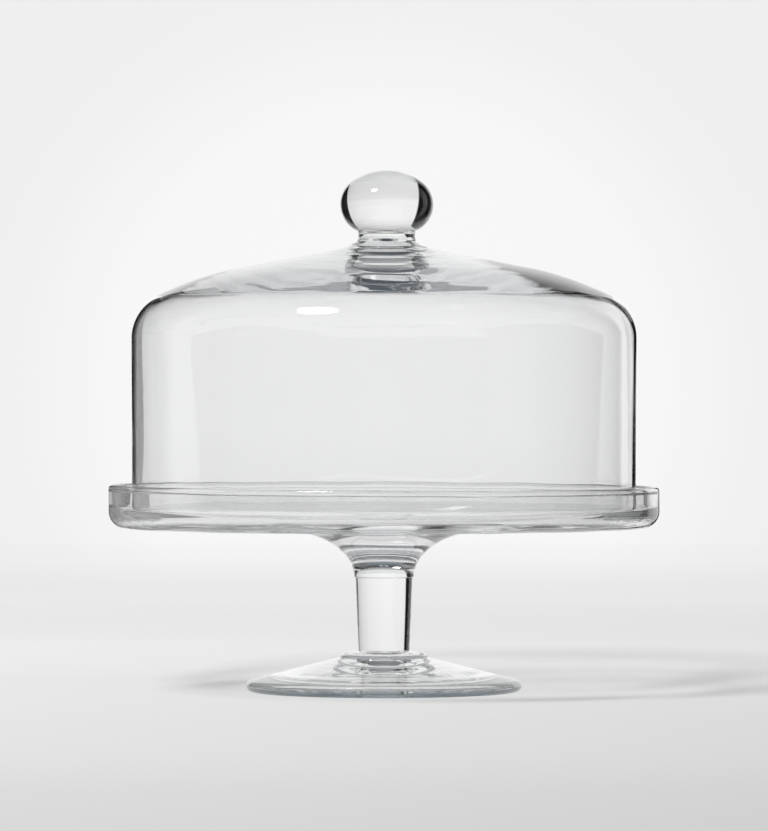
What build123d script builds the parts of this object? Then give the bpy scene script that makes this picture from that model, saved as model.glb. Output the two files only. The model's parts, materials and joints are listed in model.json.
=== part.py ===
from build123d import *

import math
import os

# A glass cake stand with a lift-off glass dome, in millimetres and degrees.
# Every piece is round about the Z axis and the foot stands on z = 0.
# Each half profile is drawn with x as the radius and y as the height.

# Foot: a low cone with a full-round edge, hollowed underneath down to a flat ground ring.
foot_diameter = 145.0
foot_edge_thickness = 6.3
foot_slope = 14.0
foot_ring_width = 9.0
foot_hollow_depth = 10.0
foot_hollow_step = 2.2

# Collar: the flattened bead of glass that joins the stem to the foot.
collar_diameter = 46.4
collar_height = 3.7
collar_seam_step = 0.2

# Stem: a solid rod that widens a little towards the plate.
stem_foot_diameter = 26.8
stem_head_diameter = 30.0
stem_length = 38.4

# Flare: a trumpet of solid glass under the plate, proud of the stem by a small bead.
flare_neck_diameter = 31.5
flare_head_diameter = 119.0
flare_height = 26.0
flare_bead_radius = 0.5
flare_edge_land = 0.3

# Plate: a flat disc with a low upright rim that ends in a swollen, fire-polished lip.
plate_diameter = 290.0
plate_thickness = 5.6
plate_rim_height = 22.2
plate_rim_wall = 3.0
plate_corner_radius = 9.0
plate_inner_corner_radius = 6.0
plate_lip_swell = 0.4

# Dome: an upright wall, a round shoulder, a long flat arc and a low cone up to the knob.
dome_diameter = 265.8
dome_mouth_draw = 0.4
dome_wall = 2.5
dome_wall_height = 93.9
dome_seat_gap = 0.3
shoulder_radius = 25.1
shoulder_angle = 63.3
crown_radius = 166.9
crown_slope = 11.8

# The crown's wall thickens steadily from the shoulder to the boss, so its inside is flatter.
crown_wedge_angle = 5.0
inner_crown_slope = 8.8

# Boss: the thick middle of the dome that sweeps up to the neck, hollowed by a funnel from inside.
boss_foot_diameter = 56.0
boss_rise = 4.1
boss_step = 2.3
boss_roof = 1.5
funnel_head_diameter = 18.0
funnel_head_height = 3.5
funnel_mouth_diameter = 30.0

# Neck: a short ring of glass between the dome and the knob.
neck_diameter = 31.0
neck_height = 3.9

# Knob: a solid flattened ball, flatter on top, cut flat where it is stuck to the neck.
knob_diameter = 49.1
knob_thickness = 36.2
knob_top_radius = 31.0
knob_seat_diameter = 30.4

quarter_turn = 90.0


def along(angle):
    return Vector(math.cos(math.radians(angle)), math.sin(math.radians(angle)))


# Heights of the seats, each worked out from the piece below.
foot_edge_centre = Vector(foot_diameter / 2 - foot_edge_thickness / 2, foot_edge_thickness / 2)
foot_cone_start = foot_edge_centre + along(quarter_turn - foot_slope) * (foot_edge_thickness / 2)
foot_cone_run = foot_cone_start.X - collar_diameter / 2
collar_z = foot_cone_start.Y + foot_cone_run * math.tan(math.radians(foot_slope))
stem_z = collar_z + collar_height
flare_z = stem_z + stem_length
plate_z = flare_z + flare_height
plate_floor_z = plate_z + plate_thickness
dome_z = plate_floor_z + dome_seat_gap
shoulder_z = dome_z + dome_wall_height

# Centres and ends of the arcs over the dome.
crown_turn = quarter_turn - crown_slope - shoulder_angle
shoulder_centre = Vector(dome_diameter / 2 - shoulder_radius, shoulder_z)
crown_centre = shoulder_centre - along(shoulder_angle) * (crown_radius - shoulder_radius)
cone_start = crown_centre + along(quarter_turn - crown_slope) * crown_radius


# Height of the outside of the dome's cone at a radius.
def cone_z(radius):
    return cone_start.Y + (cone_start.X - radius) * math.tan(math.radians(crown_slope))


boss_foot = Vector(boss_foot_diameter / 2, cone_z(boss_foot_diameter / 2))
boss_crease = Vector(neck_diameter / 2, boss_foot.Y + boss_rise)
boss_z = boss_crease.Y + boss_step
knob_z = boss_z + neck_height


# The solid that a closed half profile makes when it is turned about Z.
def turned(profile):
    return revolve(Plane.XZ * profile, Axis.Z)


def make_foot():
    ring_x = foot_edge_centre.X - foot_ring_width
    step_x = ring_x - foot_hollow_step
    edge_radius = foot_edge_thickness / 2
    with BuildSketch() as half:
        with BuildLine():
            hollow = TangentArc((0, foot_hollow_depth), (step_x, foot_hollow_step), tangent=(1, 0))
            CenterArc((step_x, 0), foot_hollow_step, 0, quarter_turn)
            Line((ring_x, 0), (foot_edge_centre.X, 0))
            CenterArc(foot_edge_centre, edge_radius, -quarter_turn, 2 * quarter_turn - foot_slope)
            Line(foot_cone_start, (collar_diameter / 2, collar_z))
            seat = Line((collar_diameter / 2, collar_z), (0, collar_z))
            Line(seat @ 1, hollow @ 0)
        make_face()
    return turned(half.sketch)


def make_foot_collar():
    top_x = stem_foot_diameter / 2 + collar_seam_step
    bead_x = collar_diameter / 2 - top_x
    with BuildSketch() as half:
        with BuildLine():
            Line((0, collar_z), (collar_diameter / 2, collar_z))
            EllipticalCenterArc((top_x, collar_z), bead_x, collar_height, 0, arc_size=quarter_turn)
            Line((top_x, stem_z), (0, stem_z))
            Line((0, stem_z), (0, collar_z))
        make_face()
    return turned(half.sketch)


def make_stem():
    with BuildSketch() as half:
        with BuildLine():
            Polyline(
                (0, stem_z),
                (stem_foot_diameter / 2, stem_z),
                (stem_head_diameter / 2, flare_z),
                (0, flare_z),
                close=True,
            )
        make_face()
    return turned(half.sketch)


def make_stem_flare():
    neck_x = flare_neck_diameter / 2
    head_x = flare_head_diameter / 2
    bead_x = neck_x - flare_bead_radius
    low_z = flare_z + flare_bead_radius
    high_z = plate_z - flare_edge_land
    with BuildSketch() as half:
        with BuildLine():
            Line((0, flare_z), (bead_x, flare_z))
            CenterArc((bead_x, low_z), flare_bead_radius, -quarter_turn, quarter_turn)
            EllipticalCenterArc(
                (head_x, low_z), head_x - neck_x, high_z - low_z, quarter_turn, arc_size=quarter_turn
            )
            Line((head_x, high_z), (head_x, plate_z))
            Line((head_x, plate_z), (0, plate_z))
            Line((0, plate_z), (0, flare_z))
        make_face()
    return turned(half.sketch)


def make_plate():
    outer_x = plate_diameter / 2
    inner_x = outer_x - plate_rim_wall
    lip_radius = plate_rim_wall / 2 + plate_lip_swell
    lip_z = plate_z + plate_rim_height - lip_radius
    with BuildSketch() as half:
        with BuildLine():
            Polyline(
                (0, plate_z),
                (outer_x, plate_z),
                (outer_x, lip_z),
                (inner_x, lip_z),
                (inner_x, plate_floor_z),
                (0, plate_floor_z),
                close=True,
            )
        make_face()
        outer_corner = half.vertices().sort_by_distance((outer_x, plate_z))[0]
        fillet(outer_corner, plate_corner_radius)
        inner_corner = half.vertices().sort_by_distance((inner_x, plate_floor_z))[0]
        fillet(inner_corner, plate_inner_corner_radius)
        with Locations((outer_x - lip_radius, lip_z)):
            Circle(lip_radius)
    return turned(half.sketch)


def make_dome_shell():
    outer_x = dome_diameter / 2
    inner_x = outer_x - dome_wall
    mouth_x = outer_x - dome_mouth_draw - dome_wall / 2
    mouth_z = dome_z + dome_wall / 2
    inner_shoulder_radius = shoulder_radius - dome_wall
    inner_crown_radius = crown_radius - dome_wall
    inner_shoulder_angle = shoulder_angle + crown_wedge_angle
    inner_crown_turn = quarter_turn - inner_crown_slope - inner_shoulder_angle
    inner_shoulder_end = shoulder_centre + along(inner_shoulder_angle) * inner_shoulder_radius
    inner_centre = inner_shoulder_end - along(inner_shoulder_angle) * inner_crown_radius
    inner_cone_start = inner_centre + along(quarter_turn - inner_crown_slope) * inner_crown_radius
    inner_cone_rise = math.tan(math.radians(inner_crown_slope))
    funnel_mouth_x = funnel_mouth_diameter / 2
    funnel_mouth_z = inner_cone_start.Y + (inner_cone_start.X - funnel_mouth_x) * inner_cone_rise
    funnel_head_x = funnel_head_diameter / 2
    roof_z = boss_z - boss_roof
    funnel_head_z = roof_z - funnel_head_height
    with BuildSketch() as half:
        with BuildLine():
            lip = CenterArc((mouth_x, mouth_z), dome_wall / 2, 2 * quarter_turn, 2 * quarter_turn)
            Line(lip @ 1, (outer_x, shoulder_z))
            CenterArc(shoulder_centre, shoulder_radius, 0, shoulder_angle)
            CenterArc(crown_centre, crown_radius, shoulder_angle, crown_turn)
            Line(cone_start, boss_foot)
            TangentArc(boss_foot, boss_crease, tangent=along(2 * quarter_turn - crown_slope))
            Line(boss_crease, (boss_crease.X, boss_z))
            Line((boss_crease.X, boss_z), (0, boss_z))
            Line((0, boss_z), (0, roof_z))
            TangentArc((0, roof_z), (funnel_head_x, funnel_head_z), tangent=(1, 0))
            Line((funnel_head_x, funnel_head_z), (funnel_mouth_x, funnel_mouth_z))
            Line((funnel_mouth_x, funnel_mouth_z), inner_cone_start)
            CenterArc(inner_centre, inner_crown_radius, inner_shoulder_angle, inner_crown_turn)
            CenterArc(shoulder_centre, inner_shoulder_radius, 0, inner_shoulder_angle)
            Line((inner_x, shoulder_z), lip @ 0)
        make_face()
    return turned(half.sketch)


def make_knob_neck():
    with BuildSketch() as half:
        with BuildLine():
            Polyline(
                (0, boss_z),
                (neck_diameter / 2, boss_z),
                (knob_seat_diameter / 2, knob_z),
                (0, knob_z),
                close=True,
            )
        make_face()
    return turned(half.sketch)


def make_knob():
    half_width = knob_diameter / 2
    half_height = knob_thickness / 2
    side_radius = (2 * knob_top_radius * half_height - half_height**2 - half_width**2) / (
        2 * (knob_top_radius - half_width)
    )
    side_x = half_width - side_radius
    seat_turn = math.degrees(math.acos((knob_seat_diameter / 2 - side_x) / side_radius))
    meet_turn = math.degrees(math.atan2(knob_top_radius - half_height, side_x))
    middle_z = knob_z + side_radius * math.sin(math.radians(seat_turn))
    top_centre_z = middle_z + half_height - knob_top_radius
    with BuildSketch() as half:
        with BuildLine():
            side = CenterArc((side_x, middle_z), side_radius, -seat_turn, seat_turn + meet_turn)
            top = CenterArc((0, top_centre_z), knob_top_radius, meet_turn, quarter_turn - meet_turn)
            Line(top @ 1, (0, knob_z))
            Line((0, knob_z), side @ 0)
        make_face()
    return turned(half.sketch)


pieces = {
    "foot": make_foot,
    "foot_collar": make_foot_collar,
    "stem": make_stem,
    "stem_flare": make_stem_flare,
    "plate": make_plate,
    "dome_shell": make_dome_shell,
    "knob_neck": make_knob_neck,
    "knob": make_knob,
}

os.makedirs("parts", exist_ok=True)
for node, make in pieces.items():
    export_step(make(), f"parts/{node}.step")
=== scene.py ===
import json
from math import atan2, cos, pi, radians, sin, sqrt, tan

import bpy
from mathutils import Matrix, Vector, noise

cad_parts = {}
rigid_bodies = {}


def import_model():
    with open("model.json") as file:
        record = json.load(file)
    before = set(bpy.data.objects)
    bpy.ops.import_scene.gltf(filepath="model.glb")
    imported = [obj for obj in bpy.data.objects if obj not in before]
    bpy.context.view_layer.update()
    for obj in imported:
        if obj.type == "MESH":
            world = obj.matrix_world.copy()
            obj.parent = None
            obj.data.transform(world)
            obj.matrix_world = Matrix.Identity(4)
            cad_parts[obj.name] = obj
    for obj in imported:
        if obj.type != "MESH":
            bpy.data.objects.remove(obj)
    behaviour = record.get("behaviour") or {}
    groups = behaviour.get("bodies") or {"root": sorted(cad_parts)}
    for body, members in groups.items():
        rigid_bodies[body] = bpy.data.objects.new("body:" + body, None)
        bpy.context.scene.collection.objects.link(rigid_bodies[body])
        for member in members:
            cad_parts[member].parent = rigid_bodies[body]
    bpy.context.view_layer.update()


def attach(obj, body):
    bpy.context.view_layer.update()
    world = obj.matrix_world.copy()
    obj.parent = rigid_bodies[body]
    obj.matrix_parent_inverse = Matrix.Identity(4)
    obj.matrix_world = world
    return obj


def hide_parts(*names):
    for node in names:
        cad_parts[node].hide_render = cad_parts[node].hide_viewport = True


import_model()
mm = 0.001
turnSteps = 384
seamGap = 0.01  # half the space left between two gathers that are melted together, in mm
noise.seed_set(7)
print("frame loaded")


def clearSelection():
    for item in bpy.context.view_layer.objects:
        item.select_set(False)


def useAlone(item):
    clearSelection()
    item.select_set(True)
    bpy.context.view_layer.objects.active = item


def along(angle):
    return Vector((cos(radians(angle)), sin(radians(angle))))


def between(value, low, high):
    t = min(max((value - low) / (high - low), 0), 1)
    return t * t * (3 - 2 * t)


# What the maker's hand left in the glass, in mm: soft waves, a rim that isn't quite level,
# a knob that sits a little low and off the axis, and a slight waist under it.
hand = dict(
    waveLength=26.0,
    waves=[
        (0, 0.0), (2, 0.04), (8, 0.16), (18, 0.12), (60, 0.10), (84, 0.22), (108, 0.24),
        (116, 0.07), (180, 0.07), (200, 0.28), (236, 0.26), (246, 0.10), (280, 0.10),
    ],
    rimFall=0.0048,
    knobAside=1.4,
    knobDrop=0.9,
    waist=0.03,
    waistLow=237.1,
    waistHigh=243.3,
)


def waveAt(z):
    for (z0, a0), (z1, a1) in zip(hand["waves"], hand["waves"][1:]):
        if z <= z1:
            return a0 + (a1 - a0) * max(z - z0, 0) / (z1 - z0)
    return hand["waves"][-1][1]


def handShift(p):
    radius = sqrt(p.x**2 + p.y**2)
    size = waveAt(p.z)
    shift = noise.noise_vector(p / hand["waveLength"]) * size
    if radius > 1:
        outward = Vector((p.x, p.y, 0)) / radius
        shift -= outward * size * between(radius, 134, 142)
        shift.z -= p.x * hand["rimFall"] * between(radius, 134, 138) * between(p.z, 94, 105)
    shift.z -= size * between(p.z, 250, 262)
    shift.x += hand["knobAside"] * between(p.z, 224, 241)
    shift.z -= hand["knobDrop"] * between(p.z, 232, 243)
    if hand["waistLow"] < p.z < hand["waistHigh"]:
        part = (p.z - hand["waistLow"]) / (hand["waistHigh"] - hand["waistLow"])
        shift -= Vector((p.x, p.y, 0)) * hand["waist"] * sin(pi * part) ** 2
    return shift


# A half profile is a list of knots: a point, the handle that comes in and the one that goes out.
def startAt(r, z):
    p = Vector((r, z))
    return [[p, p, p]]


def lineTo(path, r, z):
    last, p = path[-1], Vector((r, z))
    last[2] = last[0].lerp(p, 1 / 3)
    path.append([p, p.lerp(last[0], 1 / 3), p])


def arcTo(path, centre, turn, radii=None):
    centre = Vector(centre)
    spoke = path[-1][0] - centre
    a, b = radii or (spoke.length, spoke.length)
    start = atan2(spoke.y / b, spoke.x / a)
    parts = max(1, round(abs(turn) / 45))
    step = radians(turn) / parts
    pull = 4 / 3 * tan(step / 4)
    for k in range(parts):
        t0, t1 = start + k * step, start + (k + 1) * step
        p0, p1 = path[-1][0], centre + Vector((a * cos(t1), b * sin(t1)))
        path[-1][2] = p0 + Vector((-a * sin(t0), b * cos(t0))) * pull
        path.append([p1, p1 - Vector((-a * sin(t1), b * cos(t1))) * pull, p1])


# centre and turn of the arc that leaves a point in a direction and ends at another point
def tangentArc(start, direction, end):
    chord = Vector(end) - Vector(start)
    normal = Vector((-direction.y, direction.x))
    centre = Vector(start) + normal * chord.length_squared / (2 * chord.dot(normal))
    from0 = atan2(start[1] - centre.y, start[0] - centre.x)
    to0 = atan2(end[1] - centre.y, end[0] - centre.x)
    turn = (to0 - from0) * 180 / pi
    return centre, (turn + 180) % 360 - 180


# A bezier curve is bent to the half profile, made a mesh and turned about the axis.
def turnedPiece(name, path, detail=12):
    clearSelection()
    bpy.ops.curve.primitive_bezier_curve_add()
    curve = bpy.context.object
    curve.data.splines.clear()
    spline = curve.data.splines.new("BEZIER")
    spline.bezier_points.add(len(path) - 1)
    for knot, (p, left, right) in zip(spline.bezier_points, path):
        knot.handle_left_type = knot.handle_right_type = "FREE"
        knot.co = (p.x * mm, 0, p.y * mm)
        knot.handle_left = (left.x * mm, 0, left.y * mm)
        knot.handle_right = (right.x * mm, 0, right.y * mm)
    curve.data.dimensions = "3D"
    curve.data.resolution_u = spline.resolution_u = detail
    useAlone(curve)
    bpy.ops.object.convert(target="MESH")
    piece = bpy.context.object
    piece.name = piece.data.name = name
    turn = piece.modifiers.new("turn", "SCREW")
    turn.angle = 2 * pi
    turn.screw_offset = 0
    turn.steps = turn.render_steps = turnSteps
    turn.use_merge_vertices = True
    turn.merge_threshold = 2e-6
    bpy.ops.object.modifier_apply(modifier=turn.name)
    bpy.ops.object.mode_set(mode="EDIT")
    bpy.ops.mesh.select_all(action="SELECT")
    bpy.ops.mesh.remove_doubles(threshold=2e-6)
    bpy.ops.mesh.dissolve_degenerate(threshold=1e-7)
    bpy.ops.mesh.select_all(action="SELECT")
    bpy.ops.mesh.normals_make_consistent(inside=False)
    bpy.ops.object.mode_set(mode="OBJECT")
    useAlone(piece)
    bpy.ops.object.shade_smooth_by_angle(angle=radians(35))
    return piece


# Melted seams lose their surface, the foot's ground ring and the lower edge above it are marked for painted
# shade, the ring also for its matt grind, and the hand's waves go in.
def finishPiece(piece, body, node, glass, seams, groundAndShadeFrom=None):
    mesh = piece.data
    mesh.materials.clear()
    mesh.materials.append(glass)
    skin = mesh.attributes.new("skin", "FLOAT", "FACE")
    groundAndPaintedShade = mesh.attributes.new("groundAndPaintedShade", "FLOAT", "FACE")
    melted = {}
    for face in mesh.polygons:
        c = face.center
        radius = sqrt(c.x**2 + c.y**2)
        skin.data[face.index].value = 1
        groundAndPaintedShade.data[face.index].value = 0
        # painted shade mark: 2 on the ground ring, which is also made matt, and 1 fading to 0 up the foot's
        # lower edge
        if groundAndShadeFrom and radius > groundAndShadeFrom * mm:
            onRing = abs(c.z) < 0.004 * mm
            groundAndPaintedShade.data[face.index].value = 2 if onRing else 1 - between(c.z / mm, 1.6, 4.6)
        for height, reach in seams:
            if abs(c.z - height * mm) < 0.004 * mm and radius < reach * mm:
                skin.data[face.index].value = 0
                face.use_smooth = False
                for k in face.vertices:
                    melted[k] = -seamGap * mm if face.normal.z > 0 else seamGap * mm
    for k, vertex in enumerate(mesh.vertices):
        shift = handShift(vertex.co / mm) * mm
        vertex.co.z += melted.get(k, 0)
        vertex.co += shift
    mesh.update()
    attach(piece, body)
    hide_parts(node)
    print(piece.name, len(mesh.polygons), "faces")


def newMaterial(name):
    material = bpy.data.materials.new(name)
    material.use_nodes = True
    material.node_tree.nodes.clear()
    return material, material.node_tree.nodes, material.node_tree.links


def ramp(nodes, stops, interpolation="LINEAR"):
    node = nodes.new("ShaderNodeValToRGB")
    node.color_ramp.interpolation = interpolation
    while len(node.color_ramp.elements) > 1:
        node.color_ramp.elements.remove(node.color_ramp.elements[-1])
    for k, (place, value) in enumerate(stops):
        element = node.color_ramp.elements[0] if k == 0 else node.color_ramp.elements.new(place)
        element.position = place
        element.color = (*value, 1) if isinstance(value, tuple) else (value, value, value, 1)
    return node


def mathNode(nodes, links, operation, *values):
    node = nodes.new("ShaderNodeMath")
    node.operation = operation
    for socket, value in zip(node.inputs, values):
        if isinstance(value, (int, float)):
            socket.default_value = value
        else:
            links.new(value, socket)
    return node.outputs[0]


# glassRipple: cords and soft ripple of hand-made glass, as a height in metres and a faint tint
def makeRippleGroup():
    group = bpy.data.node_groups.new("glassRipple", "ShaderNodeTree")
    face = group.interface
    inputs = [("Vector", "NodeSocketVector"), ("Scale", "NodeSocketFloat"), ("Depth", "NodeSocketFloat"),
              ("Clear", "NodeSocketColor"), ("Tinted", "NodeSocketColor")]
    for name, kind in inputs:
        face.new_socket(name=name, in_out="INPUT", socket_type=kind)
    face.new_socket(name="Color", in_out="OUTPUT", socket_type="NodeSocketColor")
    face.new_socket(name="Height", in_out="OUTPUT", socket_type="NodeSocketFloat")
    nodes, links = group.nodes, group.links
    start, end = nodes.new("NodeGroupInput"), nodes.new("NodeGroupOutput")
    soft = nodes.new("ShaderNodeTexNoise")
    soft.inputs["Detail"].default_value = 1
    links.new(start.outputs["Vector"], soft.inputs["Vector"])
    links.new(start.outputs["Scale"], soft.inputs["Scale"])
    fine = nodes.new("ShaderNodeTexNoise")
    fine.inputs["Detail"].default_value = 2
    links.new(start.outputs["Vector"], fine.inputs["Vector"])
    links.new(mathNode(nodes, links, "MULTIPLY", start.outputs["Scale"], 4.3), fine.inputs["Scale"])
    weak = mathNode(nodes, links, "MULTIPLY", fine.outputs["Fac"], 0.12)
    height = mathNode(nodes, links, "ADD", soft.outputs["Fac"], weak)
    links.new(mathNode(nodes, links, "MULTIPLY", height, start.outputs["Depth"]), end.inputs["Height"])
    tint = nodes.new("ShaderNodeMix")
    tint.data_type = "RGBA"
    links.new(soft.outputs["Fac"], tint.inputs["Factor"])
    links.new(start.outputs["Clear"], tint.inputs["A"])
    links.new(start.outputs["Tinted"], tint.inputs["B"])
    links.new(tint.outputs["Result"], end.inputs["Color"])
    return group


rippleGroup = makeRippleGroup()


# Clear glass: the surface bends light, the body tints it, the foot's ring and lower edge get a painted shade,
# and lamps shine through it with a soft shadow.
def makeGlass(name, look):
    material, nodes, links = newMaterial(name)
    out = nodes.new("ShaderNodeOutputMaterial")
    place = nodes.new("ShaderNodeTexCoord")
    stretch = nodes.new("ShaderNodeMapping")
    stretch.inputs["Scale"].default_value = look["stretch"]
    links.new(place.outputs["Object"], stretch.inputs["Vector"])
    ripple = nodes.new("ShaderNodeGroup")
    ripple.node_tree = rippleGroup
    ripple.inputs["Scale"].default_value = look["rippleScale"]
    ripple.inputs["Depth"].default_value = look["rippleDepth"] * mm
    ripple.inputs["Clear"].default_value = (0.998, 0.998, 0.998, 1)
    ripple.inputs["Tinted"].default_value = (0.988, 0.992, 0.994, 1)
    links.new(stretch.outputs["Vector"], ripple.inputs["Vector"])
    bump = nodes.new("ShaderNodeBump")
    bump.inputs["Distance"].default_value = 1
    links.new(ripple.outputs["Height"], bump.inputs["Height"])
    skin, groundAndPaintedShade = nodes.new("ShaderNodeAttribute"), nodes.new("ShaderNodeAttribute")
    skin.attribute_name, groundAndPaintedShade.attribute_name = "skin", "groundAndPaintedShade"
    # painted shade: a dark base colour on the marked ring and lower edge of the foot; only the ring's
    # roughness below is the real grind
    paintedEdgeShade = nodes.new("ShaderNodeMix")
    paintedEdgeShade.data_type = "RGBA"
    paintedEdgeShade.inputs["B"].default_value = (*look["edgeShadeColour"], 1)
    links.new(groundAndPaintedShade.outputs["Fac"], paintedEdgeShade.inputs["Factor"])
    links.new(ripple.outputs["Color"], paintedEdgeShade.inputs["A"])
    glass = nodes.new("ShaderNodeBsdfPrincipled")
    glass.inputs["IOR"].default_value = 1.52
    glass.inputs["Transmission Weight"].default_value = 1
    links.new(paintedEdgeShade.outputs["Result"], glass.inputs["Base Color"])
    matt = mathNode(nodes, links, "MULTIPLY_ADD", groundAndPaintedShade.outputs["Fac"], 0.6, -0.6)
    matt.node.use_clamp = True
    links.new(matt, glass.inputs["Roughness"])
    links.new(bump.outputs["Normal"], glass.inputs["Normal"])
    links.new(skin.outputs["Fac"], glass.inputs["Alpha"])
    facing = nodes.new("ShaderNodeLayerWeight")
    facing.inputs["Blend"].default_value = 0.5
    shade = ramp(nodes, look["shadow"])
    links.new(facing.outputs["Facing"], shade.inputs[0])
    clear = nodes.new("ShaderNodeBsdfTransparent")
    links.new(shade.outputs["Color"], clear.inputs["Color"])
    path = nodes.new("ShaderNodeLightPath")
    soft = nodes.new("ShaderNodeMixShader")
    links.new(path.outputs["Is Diffuse Ray"], soft.inputs[0])
    links.new(glass.outputs["BSDF"], soft.inputs[1])
    links.new(clear.outputs["BSDF"], soft.inputs[2])
    lamps = nodes.new("ShaderNodeMixShader")
    links.new(path.outputs["Is Shadow Ray"], lamps.inputs[0])
    links.new(soft.outputs["Shader"], lamps.inputs[1])
    links.new(clear.outputs["BSDF"], lamps.inputs[2])
    links.new(lamps.outputs["Shader"], out.inputs["Surface"])
    depthTint = nodes.new("ShaderNodeVolumeAbsorption")
    depthTint.inputs["Color"].default_value = (*look["body"], 1)
    depthTint.inputs["Density"].default_value = look["density"]
    links.new(depthTint.outputs[0], out.inputs["Volume"])
    return material


thinShadow = [(0, 1.0), (0.45, 0.99), (0.58, 0.86), (0.7, 0.55), (0.8, 0.25), (0.9, 0.08), (1, 0.0)]
thickShadow = [(0, 0.98), (0.4, 0.95), (0.65, 0.8), (0.85, 0.4), (1, 0.05)]
# edgeShadeColour is painted shade, used only where the foot's ring and lower edge are marked
blown = dict(
    stretch=(1, 1, 1), rippleScale=24.0, rippleDepth=0.05, body=(0.795, 0.808, 0.82), density=4.0,
    edgeShadeColour=(0.30, 0.34, 0.36), shadow=thinShadow,
)
pressed = dict(blown, rippleScale=30.0, rippleDepth=0.04, density=1.5)
drawn = dict(blown, stretch=(1, 1, 0.3), rippleScale=60.0, rippleDepth=0.012, density=1.5, shadow=thickShadow)
gathered = dict(blown, rippleScale=34.0, rippleDepth=0.04, density=2.0, shadow=thickShadow)
footed = dict(
    blown, rippleScale=34.0, rippleDepth=0.04, density=0.8, edgeShadeColour=(0.15, 0.19, 0.215),
    shadow=[(0, 1.0), (0.7, 0.99), (0.88, 0.85), (0.95, 0.5), (1, 0.2)],
)
footGlass = makeGlass("footGlass", footed)
blownGlass = makeGlass("blownGlass", blown)
pressedGlass = makeGlass("pressedGlass", pressed)
drawnGlass = makeGlass("drawnGlass", drawn)
gatheredGlass = makeGlass("gatheredGlass", gathered)
print("materials made")

foot = dict(radius=72.5, edge=6.3, slope=14.0, ring=9.0, hollow=10.0, step=2.2, seat=23.2)
edgeR = foot["edge"] / 2
edgeCentre = Vector((foot["radius"] - edgeR, edgeR))
coneStart = edgeCentre + along(90 - foot["slope"]) * edgeR
collarZ = coneStart.y + (coneStart.x - foot["seat"]) * tan(radians(foot["slope"]))
ringX = edgeCentre.x - foot["ring"]
hollowX, hollowRise = ringX - foot["step"], foot["hollow"] - foot["step"]
hollowR = (hollowX**2 + hollowRise**2) / (2 * hollowRise)
hollowTurn = -atan2(hollowX, hollowR - hollowRise) * 180 / pi
path = startAt(0, foot["hollow"])
arcTo(path, (0, foot["hollow"] - hollowR), hollowTurn)
arcTo(path, (hollowX, 0), -90)
lineTo(path, edgeCentre.x, 0)
arcTo(path, edgeCentre, 180 - foot["slope"])
lineTo(path, foot["seat"], collarZ)
lineTo(path, 0, collarZ)
footPiece = turnedPiece("footGlass", path)
# the foot's ground ring and lower edge are marked for painted shade
finishPiece(footPiece, "stand", "foot", footGlass, [(collarZ, foot["seat"])], groundAndShadeFrom=ringX)

collar = dict(height=3.7, topRadius=13.6, stemRadius=13.4)
stemZ = collarZ + collar["height"]
path = startAt(0, collarZ)
lineTo(path, foot["seat"], collarZ)
arcTo(path, (collar["topRadius"], collarZ), 90, (foot["seat"] - collar["topRadius"], collar["height"]))
lineTo(path, collar["stemRadius"], stemZ)
lineTo(path, 0, stemZ)
collarPiece = turnedPiece("collarGlass", path)
collarSeams = [(collarZ, foot["seat"]), (stemZ, collar["stemRadius"])]
finishPiece(collarPiece, "stand", "foot_collar", footGlass, collarSeams)

stem = dict(length=38.4, headRadius=15.0)
flareZ = stemZ + stem["length"]
path = startAt(0, stemZ)
lineTo(path, collar["stemRadius"], stemZ)
lineTo(path, stem["headRadius"], flareZ)
lineTo(path, 0, flareZ)
stemPiece = turnedPiece("stemGlass", path)
stemSeams = [(stemZ, collar["stemRadius"]), (flareZ, stem["headRadius"])]
finishPiece(stemPiece, "stand", "stem", drawnGlass, stemSeams)

flare = dict(height=26.0, neckRadius=15.75, bead=0.5, headRadius=59.5, land=0.3)
plateZ = flareZ + flare["height"]
sweep = (flare["headRadius"] - flare["neckRadius"], flare["height"] - flare["land"] - flare["bead"])
path = startAt(0, flareZ)
lineTo(path, stem["headRadius"], flareZ)
lineTo(path, flare["neckRadius"] - flare["bead"], flareZ)
arcTo(path, (flare["neckRadius"] - flare["bead"], flareZ + flare["bead"]), 90)
arcTo(path, (flare["headRadius"], flareZ + flare["bead"]), -90, sweep)
lineTo(path, flare["headRadius"], plateZ)
lineTo(path, 0, plateZ)
flarePiece = turnedPiece("flareGlass", path)
flareSeams = [(flareZ, stem["headRadius"]), (plateZ, flare["headRadius"])]
finishPiece(flarePiece, "stand", "stem_flare", gatheredGlass, flareSeams)

plate = dict(radius=145.0, thickness=5.6, height=22.2, wall=3.0, corner=9.0, innerCorner=6.0, swell=0.4)
floorZ = plateZ + plate["thickness"]
innerX = plate["radius"] - plate["wall"]
lipR = plate["wall"] / 2 + plate["swell"]
lipCentre = Vector((plate["radius"] - lipR, plateZ + plate["height"] - lipR))
lipDrop = sqrt(lipR**2 - (innerX - lipCentre.x) ** 2)
path = startAt(0, plateZ)
lineTo(path, flare["headRadius"], plateZ)
lineTo(path, plate["radius"] - plate["corner"], plateZ)
arcTo(path, (plate["radius"] - plate["corner"], plateZ + plate["corner"]), 90)
lineTo(path, plate["radius"], lipCentre.y)
arcTo(path, lipCentre, 180 + atan2(lipDrop, lipCentre.x - innerX) * 180 / pi)
lineTo(path, innerX, floorZ + plate["innerCorner"])
arcTo(path, (innerX - plate["innerCorner"], floorZ + plate["innerCorner"]), -90)
lineTo(path, 70, floorZ)
lineTo(path, 0, floorZ)
platePiece = turnedPiece("plateGlass", path)
finishPiece(platePiece, "stand", "plate", pressedGlass, [(plateZ, flare["headRadius"])])

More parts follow.
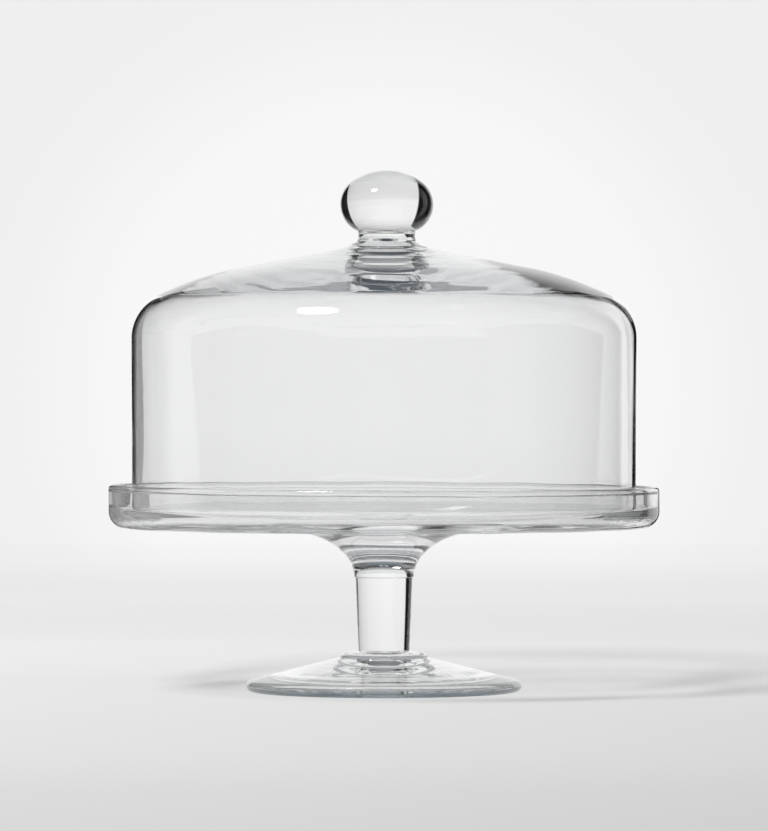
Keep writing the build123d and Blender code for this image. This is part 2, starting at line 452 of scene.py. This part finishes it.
dome = dict(
    radius=132.9, draw=0.4, wall=2.5, wallHeight=93.9, gap=0.3, shoulder=25.1, shoulderAngle=63.3,
    crown=166.9, crownSlope=11.8, wedge=5.0, innerSlope=8.8, bossFoot=28.0, bossRise=4.1, bossStep=2.3,
    roof=1.5, funnelHead=9.0, funnelDrop=3.5, funnelMouth=15.0, neck=15.5,
)
domeZ = floorZ + dome["gap"]
shoulderZ = domeZ + dome["wallHeight"]
crownTurn = 90 - dome["crownSlope"] - dome["shoulderAngle"]
shoulderCentre = Vector((dome["radius"] - dome["shoulder"], shoulderZ))
crownCentre = shoulderCentre - along(dome["shoulderAngle"]) * (dome["crown"] - dome["shoulder"])
coneFrom = crownCentre + along(90 - dome["crownSlope"]) * dome["crown"]
coneRise = (coneFrom.x - dome["bossFoot"]) * tan(radians(dome["crownSlope"]))
bossFoot = Vector((dome["bossFoot"], coneFrom.y + coneRise))
bossCrease = Vector((dome["neck"], bossFoot.y + dome["bossRise"]))
bossZ = bossCrease.y + dome["bossStep"]
innerTurn = dome["shoulderAngle"] + dome["wedge"]
innerShoulderEnd = shoulderCentre + along(innerTurn) * (dome["shoulder"] - dome["wall"])
innerCentre = innerShoulderEnd - along(innerTurn) * (dome["crown"] - dome["wall"])
innerCrownTurn = 90 - innerTurn - dome["innerSlope"]
innerConeFrom = innerCentre + along(90 - dome["innerSlope"]) * (dome["crown"] - dome["wall"])
funnelMouthZ = innerConeFrom.y + (innerConeFrom.x - dome["funnelMouth"]) * tan(radians(dome["innerSlope"]))
roofZ = bossZ - dome["roof"]
roofR = (dome["funnelHead"] ** 2 + dome["funnelDrop"] ** 2) / (2 * dome["funnelDrop"])
roofTurn = atan2(dome["funnelHead"], roofR - dome["funnelDrop"]) * 180 / pi
mouthX = dome["radius"] - dome["draw"] - dome["wall"] / 2
mouthZ = domeZ + dome["wall"] / 2
path = startAt(mouthX - dome["wall"] / 2, mouthZ)
arcTo(path, (mouthX, mouthZ), 180)
lineTo(path, dome["radius"], shoulderZ)
arcTo(path, shoulderCentre, dome["shoulderAngle"])
arcTo(path, crownCentre, crownTurn)
lineTo(path, *bossFoot)
arcTo(path, *tangentArc(bossFoot, along(180 - dome["crownSlope"]), bossCrease))
lineTo(path, dome["neck"], bossZ)
lineTo(path, 0, bossZ)
lineTo(path, 0, roofZ)
arcTo(path, (0, roofZ - roofR), -roofTurn)
lineTo(path, dome["funnelMouth"], funnelMouthZ)
lineTo(path, innerConeFrom.x, innerConeFrom.y)
arcTo(path, innerCentre, -innerCrownTurn)
arcTo(path, shoulderCentre, -innerTurn)
lineTo(path, mouthX - dome["wall"] / 2, mouthZ)
domePiece = turnedPiece("domeGlass", path, 13)
finishPiece(domePiece, "dome", "dome_shell", blownGlass, [(bossZ, dome["neck"])])

knob = dict(radius=24.55, thickness=36.2, topRadius=31.0, seat=15.2, neckHeight=3.9)
knobZ = bossZ + knob["neckHeight"]
path = startAt(0, bossZ)
lineTo(path, dome["neck"], bossZ)
lineTo(path, knob["seat"], knobZ)
lineTo(path, 0, knobZ)
neckPiece = turnedPiece("knobNeckGlass", path)
neckSeams = [(bossZ, dome["neck"]), (knobZ, knob["seat"])]
finishPiece(neckPiece, "dome", "knob_neck", gatheredGlass, neckSeams)

halfHeight = knob["thickness"] / 2
sideR = (2 * knob["topRadius"] * halfHeight - halfHeight**2 - knob["radius"] ** 2) / (
    2 * (knob["topRadius"] - knob["radius"])
)
sideX = knob["radius"] - sideR
seatDrop = sqrt(sideR**2 - (knob["seat"] - sideX) ** 2)
middleZ = knobZ + seatDrop
meetTurn = atan2(knob["topRadius"] - halfHeight, sideX) * 180 / pi
path = startAt(0, knobZ)
lineTo(path, knob["seat"], knobZ)
arcTo(path, (sideX, middleZ), atan2(seatDrop, knob["seat"] - sideX) * 180 / pi + meetTurn)
arcTo(path, (0, middleZ + halfHeight - knob["topRadius"]), 90 - meetTurn)
knobPiece = turnedPiece("knobGlass", path, 16)
finishPiece(knobPiece, "dome", "knob", gatheredGlass, [(knobZ, knob["seat"])])
print("pieces made")

view = dict(distance=3.0, height=0.156, tilt=0.206, lens=246.9)
cameraTurn = (radians(90 - view["tilt"]), 0, 0)
bpy.ops.object.camera_add(location=(0, -view["distance"], view["height"]), rotation=cameraTurn)
camera = bpy.context.object
camera.data.lens = view["lens"]
camera.data.sensor_width = 36
camera.data.clip_end = 50
bpy.context.scene.camera = camera

# The set behind and beside the object turns with the camera, as a photographer would turn it.
setHeight = 0.137
bpy.ops.object.empty_add(location=(0, 0, setHeight))
pivot = bpy.context.object
pivot.name = "setPivot"
aim = pivot.constraints.new("TRACK_TO")
aim.target = camera
aim.track_axis = "TRACK_NEGATIVE_Y"
aim.up_axis = "UP_Z"


def inSet(item, name, location, onlyGlass):
    item.name = name
    item.parent = pivot
    item.location = location
    item.visible_diffuse = item.visible_shadow = item.visible_volume_scatter = False
    item.visible_camera = not onlyGlass
    item.visible_glossy = item.visible_transmission = onlyGlass


# room: seen only in and through the glass, bright behind the object and dark round the camera
room = dict(
    sideways=[(-180, 0.05), (-100, 0.08), (-75, 0.5), (-50, 0.90), (-29, 0.96), (0, 0.97), (25, 0.88),
              (46, 0.77), (75, 0.72), (95, 0.10), (180, 0.05)],
    upward=[(-90, 0.89), (-3, 0.89), (0, 1.0), (16, 1.0), (22, 0.88), (30, 0.55), (40, (0.31, 0.34, 0.36)),
            (60, (0.16, 0.19, 0.21)), (90, (0.12, 0.145, 0.165))],
)
bpy.ops.mesh.primitive_uv_sphere_add(segments=96, ring_count=48, radius=3.2, location=(0, 0, 0))
roomBall = bpy.context.object
inSet(roomBall, "studioRoom", (0, 0, 0), True)
material, nodes, links = newMaterial("studioRoom")
place = nodes.new("ShaderNodeTexCoord")
unit = nodes.new("ShaderNodeVectorMath")
unit.operation = "NORMALIZE"
links.new(place.outputs["Object"], unit.inputs[0])
split = nodes.new("ShaderNodeSeparateXYZ")
links.new(unit.outputs[0], split.inputs[0])
azimuth = mathNode(nodes, links, "ARCTAN2", split.outputs["X"], split.outputs["Y"])
sideways = ramp(nodes, [(0.5 + angle / 360, tone) for angle, tone in room["sideways"]])
links.new(mathNode(nodes, links, "MULTIPLY_ADD", azimuth, 1 / (2 * pi), 0.5), sideways.inputs[0])
elevation = mathNode(nodes, links, "ARCSINE", split.outputs["Z"])
upward = ramp(nodes, [(0.5 + angle / 180, tone) for angle, tone in room["upward"]])
links.new(mathNode(nodes, links, "MULTIPLY_ADD", elevation, 1 / pi, 0.5), upward.inputs[0])
both = nodes.new("ShaderNodeMix")
both.data_type = "RGBA"
both.blend_type = "MULTIPLY"
both.inputs["Factor"].default_value = 1
links.new(sideways.outputs["Color"], both.inputs["A"])
links.new(upward.outputs["Color"], both.inputs["B"])
glow = nodes.new("ShaderNodeEmission")
links.new(both.outputs["Result"], glow.inputs["Color"])
out = nodes.new("ShaderNodeOutputMaterial")
links.new(glow.outputs[0], out.inputs["Surface"])
roomBall.data.materials.append(material)

# black cards just outside the frame, which draw the dark lines along the edges of clear glass
cards = dict(
    leftLow=[(-0.160, 0.215), (-0.150, -0.060)], leftHigh=[(-0.173, 0.320), (-0.158, -0.060)],
    rightLow=[(0.152, 0.092), (0.149, 0.005)], rightHigh=[(0.155, 0.178), (0.161, 0.070)],
    frontLow=[(0.178, 0.020), (0.186, -0.250)], frontHigh=[(0.190, 0.026), (0.194, -0.250)],
    low=0.04, high=0.257, bottom=-0.05, top=0.45,
)


def makeCard(name, tones):
    material, nodes, links = newMaterial(name)
    place = nodes.new("ShaderNodeTexCoord")
    split = nodes.new("ShaderNodeSeparateXYZ")
    links.new(place.outputs["UV"], split.inputs[0])
    opacity = ramp(nodes, [(0.0, 0.0), (0.05, 1.0), (0.94, 1.0), (1.0, 0.0)])
    links.new(split.outputs["X"], opacity.inputs[0])
    tone = ramp(nodes, tones)
    links.new(split.outputs["X"], tone.inputs[0])
    dark = nodes.new("ShaderNodeEmission")
    links.new(tone.outputs["Color"], dark.inputs["Color"])
    away = nodes.new("ShaderNodeBsdfTransparent")
    edge = nodes.new("ShaderNodeMixShader")
    links.new(opacity.outputs["Color"], edge.inputs[0])
    links.new(away.outputs[0], edge.inputs[1])
    links.new(dark.outputs[0], edge.inputs[2])
    out = nodes.new("ShaderNodeOutputMaterial")
    links.new(edge.outputs[0], out.inputs["Surface"])
    return material


blackCard = makeCard("blackCard", [(0, 0.004)])
greyingCard = makeCard("greyingCard", [(0.40, 0.006), (0.52, 0.10), (0.60, 0.24), (1, 0.20)])


def cardCorner(side, end, z):
    (x0, y0), (x1, y1) = cards[side + "Low"][end], cards[side + "High"][end]
    t = (z - cards["low"]) / (cards["high"] - cards["low"])
    return x0 + (x1 - x0) * t, y0 + (y1 - y0) * t, z - setHeight


for side in ("left", "right", "front"):
    bpy.ops.mesh.primitive_plane_add(size=1, location=(0, 0, 0))
    card = bpy.context.object
    ends = [(0, cards["bottom"]), (1, cards["bottom"]), (0, cards["top"]), (1, cards["top"])]
    for vertex, (end, z) in zip(card.data.vertices, ends):
        vertex.co = cardCorner(side, end, z)
    card.data.materials.append(greyingCard if side == "left" else blackCard)
    inSet(card, side + "Card", (0, 0, 0), True)

# sheet: the soft halo that the camera sees behind the object
bpy.ops.mesh.primitive_circle_add(vertices=64, radius=3.0, fill_type="NGON", rotation=(pi / 2, 0, 0))
sheet = bpy.context.object
inSet(sheet, "backSheet", (0, 3.0, 0.05), False)
material, nodes, links = newMaterial("backSheet")
place = nodes.new("ShaderNodeTexCoord")
reach = nodes.new("ShaderNodeVectorMath")
reach.operation = "LENGTH"
links.new(place.outputs["Object"], reach.inputs[0])
haloTones = [(0.0, 0.94), (0.28, 0.93), (0.33, 0.905), (0.40, 0.875), (0.45, 0.865), (1.0, 0.86)]
halo = ramp(nodes, haloTones, "EASE")
links.new(reach.outputs["Value"], halo.inputs[0])
glow = nodes.new("ShaderNodeEmission")
links.new(halo.outputs["Color"], glow.inputs["Color"])
out = nodes.new("ShaderNodeOutputMaterial")
links.new(glow.outputs[0], out.inputs["Surface"])
sheet.data.materials.append(material)

# floor: pale, with painted shade that makes its colour darker towards the camera, a painted glow of its own
# that grows further back, and gone into the room's white further away
groundAndPaintedShade = dict(
    tones=[(0.03, 0.37), (0.125, 0.405), (0.22, 0.465), (0.37, 0.55), (0.56, 0.69), (0.80, 0.96)],
    glowTones=[(0.17, 0.15), (0.41, 0.19), (0.58, 0.40), (0.85, 0.56)],
    fadeFrom=1.0,
    fadeTo=3.5,
)
bpy.ops.mesh.primitive_circle_add(vertices=96, radius=4.0, fill_type="NGON", location=(0, 0, 0))
floor = bpy.context.object
floor.name = "floor"
material, nodes, links = newMaterial("paleFloor")
place = nodes.new("ShaderNodeTexCoord")
split = nodes.new("ShaderNodeSeparateXYZ")
links.new(place.outputs["Object"], split.inputs[0])
# painted shade: the floor's colour runs darker towards the camera
tone = ramp(nodes, groundAndPaintedShade["tones"])
links.new(mathNode(nodes, links, "MULTIPLY_ADD", split.outputs["Y"], 0.5, 0.5), tone.inputs[0])
paint = nodes.new("ShaderNodeBsdfDiffuse")
links.new(tone.outputs["Color"], paint.inputs["Color"])
reach = nodes.new("ShaderNodeVectorMath")
reach.operation = "LENGTH"
links.new(place.outputs["Object"], reach.inputs[0])
# painted light: the floor glows by its own emission, more further back
floorGlowRamp = ramp(nodes, groundAndPaintedShade["glowTones"])
links.new(mathNode(nodes, links, "MULTIPLY_ADD", split.outputs["Y"], 0.25, 0.25), floorGlowRamp.inputs[0])
floorGlow = nodes.new("ShaderNodeEmission")
links.new(floorGlowRamp.outputs["Color"], floorGlow.inputs["Color"])
paintAndGlow = nodes.new("ShaderNodeAddShader")
links.new(paint.outputs[0], paintAndGlow.inputs[0])
links.new(floorGlow.outputs[0], paintAndGlow.inputs[1])
fade = nodes.new("ShaderNodeMapRange")
fade.interpolation_type = "SMOOTHSTEP"
fade.inputs["From Min"].default_value = groundAndPaintedShade["fadeFrom"]
fade.inputs["From Max"].default_value = groundAndPaintedShade["fadeTo"]
links.new(reach.outputs["Value"], fade.inputs["Value"])
gone = nodes.new("ShaderNodeBsdfTransparent")
edge = nodes.new("ShaderNodeMixShader")
links.new(fade.outputs[0], edge.inputs[0])
links.new(paintAndGlow.outputs[0], edge.inputs[1])
links.new(gone.outputs[0], edge.inputs[2])
out = nodes.new("ShaderNodeOutputMaterial")
links.new(edge.outputs[0], out.inputs["Surface"])
floor.data.materials.append(material)

# world: plain soft light, and a pale grey where the camera or the glass sees past the set
light = dict(world=0.17, seen=0.92)
world = bpy.data.worlds.new("paleRoom")
bpy.context.scene.world = world
world.use_nodes = True
world.node_tree.nodes.clear()
nodes, links = world.node_tree.nodes, world.node_tree.links
rayKind = nodes.new("ShaderNodeLightPath")
seen = mathNode(nodes, links, "MAXIMUM", rayKind.outputs["Is Camera Ray"], rayKind.outputs["Is Glossy Ray"])
seen = mathNode(nodes, links, "MAXIMUM", seen, rayKind.outputs["Is Transmission Ray"])
plain = nodes.new("ShaderNodeBackground")
plain.inputs["Color"].default_value = (1, 1, 1, 1)
plain.inputs["Strength"].default_value = light["world"]
pale = nodes.new("ShaderNodeBackground")
pale.inputs["Color"].default_value = (light["seen"], light["seen"], light["seen"], 1)
pick = nodes.new("ShaderNodeMixShader")
links.new(seen, pick.inputs[0])
links.new(plain.outputs[0], pick.inputs[1])
links.new(pale.outputs[0], pick.inputs[2])
out = nodes.new("ShaderNodeOutputWorld")
links.new(pick.outputs[0], out.inputs["Surface"])


def softbox(name, direction, distance, size, watts, mirrored):
    target = Vector((0, 0, 0.12))
    spot = target + Vector(direction).normalized() * distance
    bpy.ops.object.light_add(type="AREA", location=spot)
    lamp = bpy.context.object
    lamp.name = name
    lamp.rotation_euler = (target - spot).to_track_quat("-Z", "Y").to_euler()
    lamp.data.shape = "ELLIPSE"
    lamp.data.size, lamp.data.size_y = size
    lamp.data.energy = watts
    lamp.visible_glossy = lamp.visible_transmission = mirrored


softbox("keyLight", (-0.44, -0.45, 1.0), 1.8, (0.44, 0.40), 18, True)
softbox("lowLight", (-0.42, -1.5, 1.0), 2.6, (0.5, 0.5), 44, False)

# Light is led round inside the thick glass for dozens of turns, so the bounce limits are high.
scene = bpy.context.scene
scene.view_settings.view_transform = "Standard"
scene.cycles.max_bounces = 96
scene.cycles.transmission_bounces = 96
scene.cycles.glossy_bounces = 96
scene.cycles.transparent_max_bounces = 96
scene.cycles.caustics_reflective = False
scene.cycles.caustics_refractive = False
print("stage made")
